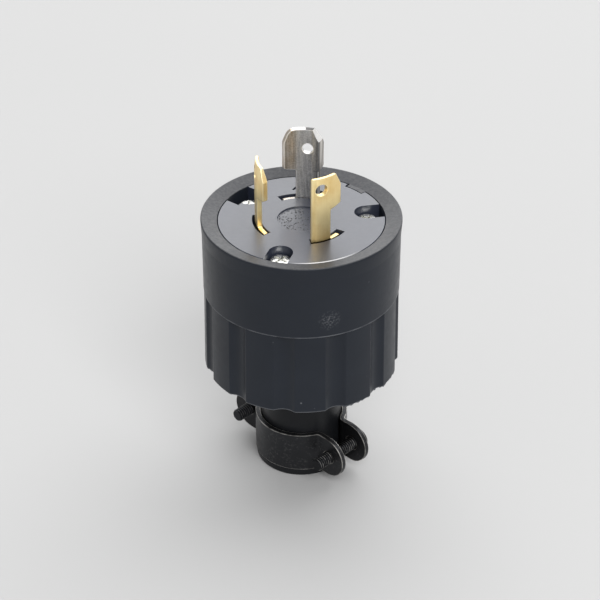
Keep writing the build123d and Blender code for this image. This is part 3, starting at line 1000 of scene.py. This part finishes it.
face_seats = [((face_screw_circle * cos(a), face_screw_circle * sin(a), screw_seat), (0, 0, 1))
              for a in face_screw_angles.values()]
face_head = screw_head(face_head_radius, face_head_height,
                       drive_width=0.0008, drive_length=0.0042, drive_depth=0.0013)
face_sizes = {"Shank Radius": 0.00175, "Thread Depth": 0.0002, "Pitch": 0.0006, "Length": 0.0136}
face_screws = fit_screws("face_screws", face_seats, face_head, face_sizes, zinc)
stand_for(face_screws, "zinc", *[f"{side}_face_screw" for side in face_screw_angles])

saddle_thickness = 0.0012
terminal_seats = []
for start, span in blade_places:
    out = toward(start + span / 2).to_3d()
    seat = out * (blade_outer_radius + saddle_thickness)
    terminal_seats.append((seat + Vector((0, 0, terminal_height)), out))
terminal_head = screw_head(radius=0.0037, height=0.0026,
                           drive_width=0.0009, drive_length=0.0046, drive_depth=0.0014)
terminal_sizes = {"Shank Radius": 0.00198, "Thread Depth": 0.0002, "Pitch": 0.0007, "Length": 0.005}
terminal_screws = fit_screws("terminal_screws", terminal_seats, terminal_head, terminal_sizes, zinc)
stand_for(terminal_screws, "zinc", *[f"{side}_terminal_screw" for side in terminal_sides])


# Clamp straps: two half straps of blackened mild steel round the neck, each pressed from one
# strip with a round-ended ear at both ends. The oxide is worn off their sheared edges.
strap_low, strap_high = [corner.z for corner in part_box("front_clamp_strap")]
strap_middle = (strap_low + strap_high) / 2
clamp_angle = radians(-45)
strap_thickness = 0.0015
strap_radius = 0.0124 + strap_thickness / 2
strap_bend = 0.0012 + strap_thickness / 2
strap_edge = 0.0002
ear_inside = 0.0042
ear_reach = 0.0229
ear_radius = (strap_high - strap_low) / 2
clamp_screw_reach = 0.01705
clamp_hole_radii = {"front": 0.00198, "rear": 0.0022}

ear_line = ear_inside + strap_thickness / 2
bend_down = ear_line + strap_bend
bend_out = sqrt((strap_radius + strap_bend) ** 2 - bend_down ** 2)
arc_from = atan2(bend_down, bend_out)
half_arc = (pi / 2 - arc_from) * strap_radius
strap_bend_length = (pi / 2 - arc_from) * strap_bend
ear_from = half_arc + strap_bend_length
half_length = ear_from + ear_reach - bend_out


def half_strap_path(along, off, up):
    """From the strap's middle outwards on both sides: round the neck, through the bend, along the ear.

    X runs along the ears and Y away from the other strap; +Y of the plate is its outside."""
    side = 1 if along >= 0 else -1
    run = abs(along)
    if run <= half_arc:
        out = toward(pi / 2 - run / strap_radius)
        point = out * strap_radius
    elif run <= ear_from:
        arm = toward(pi + arc_from + (run - half_arc) / strap_bend)
        point, out = Vector((bend_out, bend_down)) + arm * strap_bend, -arm
    else:
        point, out = Vector((bend_out + run - ear_from, ear_line)), Vector((0, 1))
    return (point.x + out.x * off) * side, point.y + out.y * off


def black_oxide_finish(name, worn):
    """Hot black oxide on steel, mottled where it rubbed thin, bare on worn edges, with painted shade on the
    left ears.
    """
    dark = (0.07, 0.068, 0.066) if worn else (0.032, 0.033, 0.036)
    bare = (0.42, 0.41, 0.39) if worn else (0.075, 0.075, 0.077)
    material, shader, place = new_finish(name, Metallic=0.85)
    cloud = grain(place, 330, 5)
    speck = band(grain(place, 1500, 4), 0.52, 0.66)
    rub = band(cloud, 0.35, 0.6) if worn else product(speck, band(cloud, 0.42, 0.62))
    # Painted shade: the left ears are darkened nearly to black.
    left_ear_shade = band(coordinate(place, "X"), -0.0140, -0.0118, 0.75, 0.0)
    paint(shader, blend(left_ear_shade, blend(rub, dark, bare), (0.008, 0.008, 0.010)),
          band(cloud, 0.3, 0.7, 0.3, 0.48))
    give_relief(shader, grain(place, 1300, 4), 0.00002)
    return material


black_oxide = black_oxide_finish("black_oxide", worn=False)
worn_oxide = black_oxide_finish("worn_oxide", worn=True)
strap_cuts = [0.0]
strap_outline = []
for side in (-1, 1):
    strap_cuts += [side * half_arc * k / 20 for k in range(1, 21)]
    strap_cuts += [side * (half_arc + strap_bend_length * k / 10) for k in range(1, 11)]
for side in (1, -1):
    ear_angles = [side * pi / 2 - pi * k / 24 for k in range(25)]
    strap_outline += arc_points(side * (half_length - ear_radius), strap_middle, ear_radius, ear_angles)
hole_along = ear_from + clamp_screw_reach - bend_out
for name, turn in (("front", clamp_angle + pi), ("rear", clamp_angle)):
    holes = [circle_outline(side * hole_along, strap_middle, clamp_hole_radii[name]) for side in (-1, 1)]
    strap = cut_plate(strap_outline, holes, strap_thickness, strap_edge, strap_cuts)
    bend_plate(strap, half_strap_path)
    bmesh.ops.rotate(strap, verts=strap.verts[:], cent=(0, 0, 0), matrix=Matrix.Rotation(turn, 3, "Z"))
    stand_for(to_piece(f"{name}_steel_strap", strap, black_oxide, worn_oxide), "black_steel",
              f"{name}_clamp_strap")


# Clamp screws: two blackened pan-head machine screws that pass through the rear ears and draw
# up in the tapped front ears, with their threads showing in the gap and beyond the front strap.
clamp_shank_radius = 0.00195
across = toward(clamp_angle).to_3d()
outward = Vector((-across.y, across.x, 0))
clamp_seats = [(across * side * clamp_screw_reach + outward * (ear_inside + strap_thickness)
                + Vector((0, 0, strap_middle)), outward) for side in (1, -1)]


def rubbed_oxide_finish():
    """Black oxide, rubbed through to bright steel on the crests of the threads, with painted shade keeping
    the left screw's crests darker.
    """
    material, shader, place = new_finish("rubbed_oxide", Metallic=1.0)
    along = measure("DOT_PRODUCT", place, across)
    arm = add_node(place.id_data, "ShaderNodeCombineXYZ",
                   {0: combine("SUBTRACT", combine("ABSOLUTE", along, 0.0), clamp_screw_reach),
                    1: combine("SUBTRACT", coordinate(place, "Z"), strap_middle)})
    off_axis = measure("LENGTH", arm.outputs[0])
    wear_and_painted_light = product(band(off_axis, clamp_shank_radius - 0.00012, clamp_shank_radius),
                     combine("LESS_THAN", off_axis, clamp_shank_radius + 0.0003),
                     band(grain(place, 800, 3), 0.45, 0.6, 0.1, 1.0),
                     # This last factor is painted shade: less bright steel on the left screw.
                     band(along, -0.01, 0.01, 0.25, 1.0))
    paint(shader, blend(wear_and_painted_light, (0.022, 0.023, 0.026), (0.50, 0.49, 0.47)),
          band(wear_and_painted_light, 0.0, 1.0, 0.36, 0.2))
    give_relief(shader, grain(place, 2200, 3), 0.000006)
    return material


clamp_head = screw_head(radius=0.0035, height=0.0026,
                        drive_width=0.0009, drive_length=0.0044, drive_depth=0.0014)
clamp_sizes = {"Shank Radius": clamp_shank_radius, "Thread Depth": 0.00028,
               "Pitch": 0.00075, "Length": 0.0166}
clamp_screws = fit_screws("clamp_screws", clamp_seats, clamp_head, clamp_sizes, rubbed_oxide_finish())
stand_for(clamp_screws, "black_screw", "right_clamp_screw", "left_clamp_screw")


# Studio: a wide pale table, a large soft light behind and above the plug, a smaller one in front
# of it, a weak fill all round, and a camera looking down on it at the photograph's angle.
floor_half = 9.0
light_aim = Vector((0, 0, 0.05))
camera_tilt = radians(33.755)

floor_mesh = bpy.data.meshes.new("pale_table")
floor_corners = [(x * floor_half, y * floor_half, 0) for x, y in square_corners]
floor_mesh.from_pydata(floor_corners, [], [(0, 1, 2, 3)])
floor = to_object("pale_table", floor_mesh)
table_material, shader, place = new_finish("pale_table", Roughness=0.7, Specular_IOR_Level=0.2)
paint(shader, blend(grain(place, 3, 2), (0.40, 0.40, 0.40), (0.415, 0.415, 0.415)))
floor_mesh.materials.append(table_material)


def soft_light(name, place, width, height, watts):
    lamp = bpy.data.lights.new(name, "AREA")
    lamp.shape = "RECTANGLE"
    lamp.size = width
    lamp.size_y = height
    lamp.energy = watts
    light = to_object(name, lamp)
    light.location = place
    light.rotation_euler = (light_aim - Vector(place)).to_track_quat("-Z", "Y").to_euler()


soft_light("back_soft_light", (1.0, 3.3, 3.6), width=8.2, height=7.2, watts=478)
soft_light("front_key_light", (1.0, -3.2, 3.2), width=3.0, height=3.0, watts=185)

world = bpy.data.worlds.new("studio")
bpy.context.scene.world = world
world.use_nodes = True
background = world.node_tree.nodes["Background"].inputs
background["Color"].default_value = (0.9, 0.9, 0.9, 1)
background["Strength"].default_value = 0.57

camera_data = bpy.data.cameras.new("camera")
camera_data.sensor_width = 36
camera_data.lens = 108.1
camera = to_object("camera", camera_data)
camera.location = (-0.0004, -0.4369, 0.3467)
camera.rotation_euler = (pi / 2 - camera_tilt, 0, 0)
bpy.context.scene.camera = camera
bpy.context.scene.view_settings.view_transform = "Standard"
